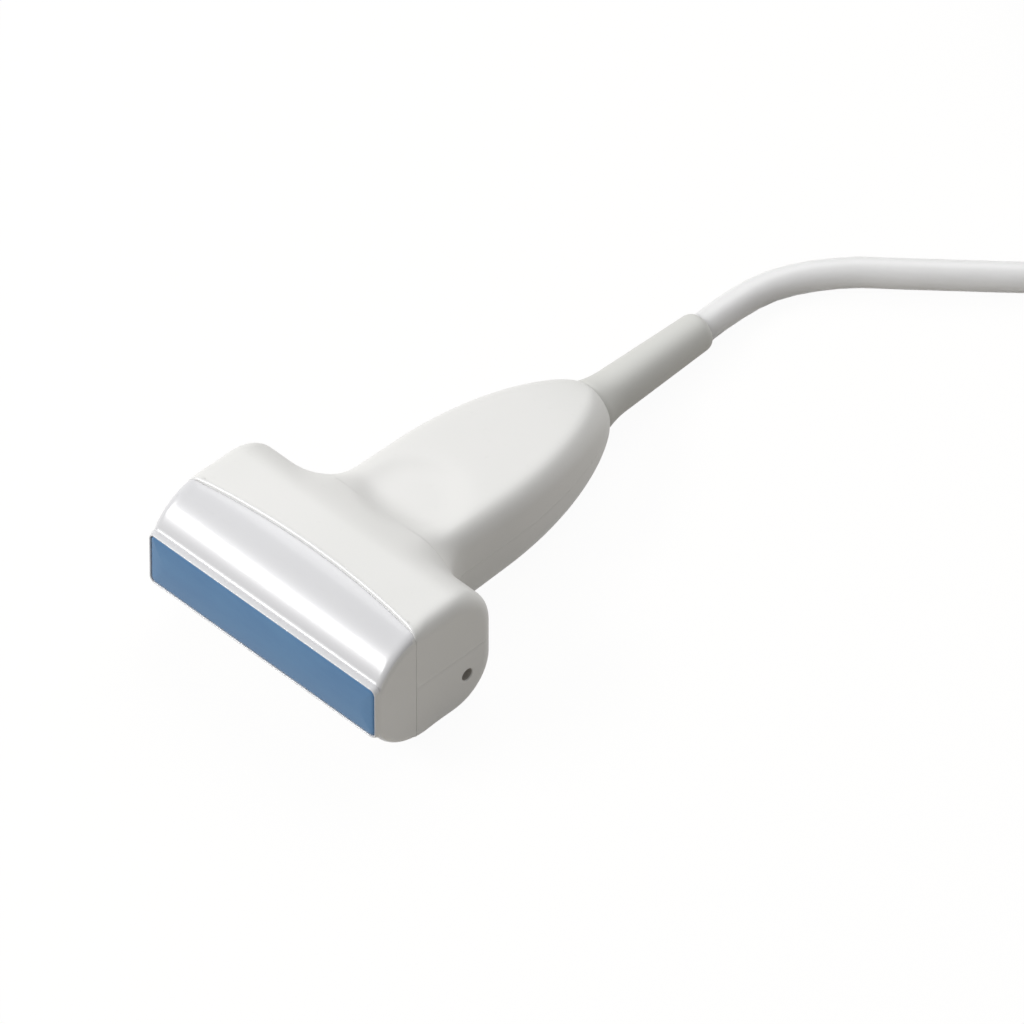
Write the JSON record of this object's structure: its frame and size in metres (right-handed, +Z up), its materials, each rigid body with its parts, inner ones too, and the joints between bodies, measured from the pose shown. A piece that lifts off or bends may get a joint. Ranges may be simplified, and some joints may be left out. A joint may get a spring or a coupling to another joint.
{
  "type": "ultrasound transducer probe",
  "caption": "T-shaped hand-held linear ultrasound probe with a flat lens strip across its wide head, a tapering handle, a strain relief and a coiled cable that ends in a system connector.",
  "frame": {"origin": "on the surface that the probe lies on, below the middle of the footprint of the head, handle and strain relief", "axes": "+Y from the lens back to the cable, +Z up, X along the scanned width"},
  "size_m": [0.0974, 0.3223, 0.038],
  "materials": {
    "lens_silicone": "smooth blue silicone",
    "gloss_housing": "polished moulding",
    "satin_housing": "fine satin moulding",
    "filled_epoxy": "cast and ground",
    "graphite": "ground",
    "piezo_ceramic": "diced ceramic",
    "loaded_epoxy": "cast",
    "carrier_resin": "moulded",
    "polyimide": "smooth film",
    "connector_resin": "moulded",
    "circuit_board": "solder mask",
    "tinned_steel": "pressed tinplate",
    "clamp_steel": "zinc plated",
    "core_bundle": "fanned thin cores",
    "cable_jacket": "smooth extruded jacket",
    "relief_elastomer": "matt moulded elastomer",
    "tie_strap": "hook and loop strap",
    "connector_housing": "fine satin moulding",
    "contact_resin": "moulded contact insulator"
  },
  "bodies": {
    "root": {"acoustic_lens": "lens_silicone", "nose_piece": "gloss_housing", "upper_housing": "satin_housing", "lower_housing": "satin_housing", "outer_matching_layer": "filled_epoxy", "inner_matching_layer": "graphite", "piezo_array": "piezo_ceramic", "backing_block": "loaded_epoxy", "array_carrier": "carrier_resin", "upper_flex_circuit": "polyimide", "lower_flex_circuit": "polyimide", "upper_board_connector": "connector_resin", "lower_board_connector": "connector_resin", "interconnect_board": "circuit_board", "shield_can": "tinned_steel", "cable_clamp": "clamp_steel", "clamp_screw_left": "clamp_steel", "clamp_screw_right": "clamp_steel", "core_bundle": "core_bundle", "cable_jacket_end": "cable_jacket", "strain_relief": "relief_elastomer", "cable_run": "cable_jacket", "cable_coil": "cable_jacket", "coil_tie_back": "tie_strap", "coil_tie_front": "tie_strap", "cable_lead": "cable_jacket", "connector_relief": "relief_elastomer", "connector_jacket_end": "cable_jacket", "connector_upper_shell": "connector_housing", "connector_lower_shell": "connector_housing", "connector_contact_block": "contact_resin", "connector_board": "circuit_board", "connector_screw_front_left": "clamp_steel", "connector_screw_front_right": "clamp_steel", "connector_screw_rear_left": "clamp_steel", "connector_screw_rear_right": "clamp_steel"}
  },
  "joints": []
}
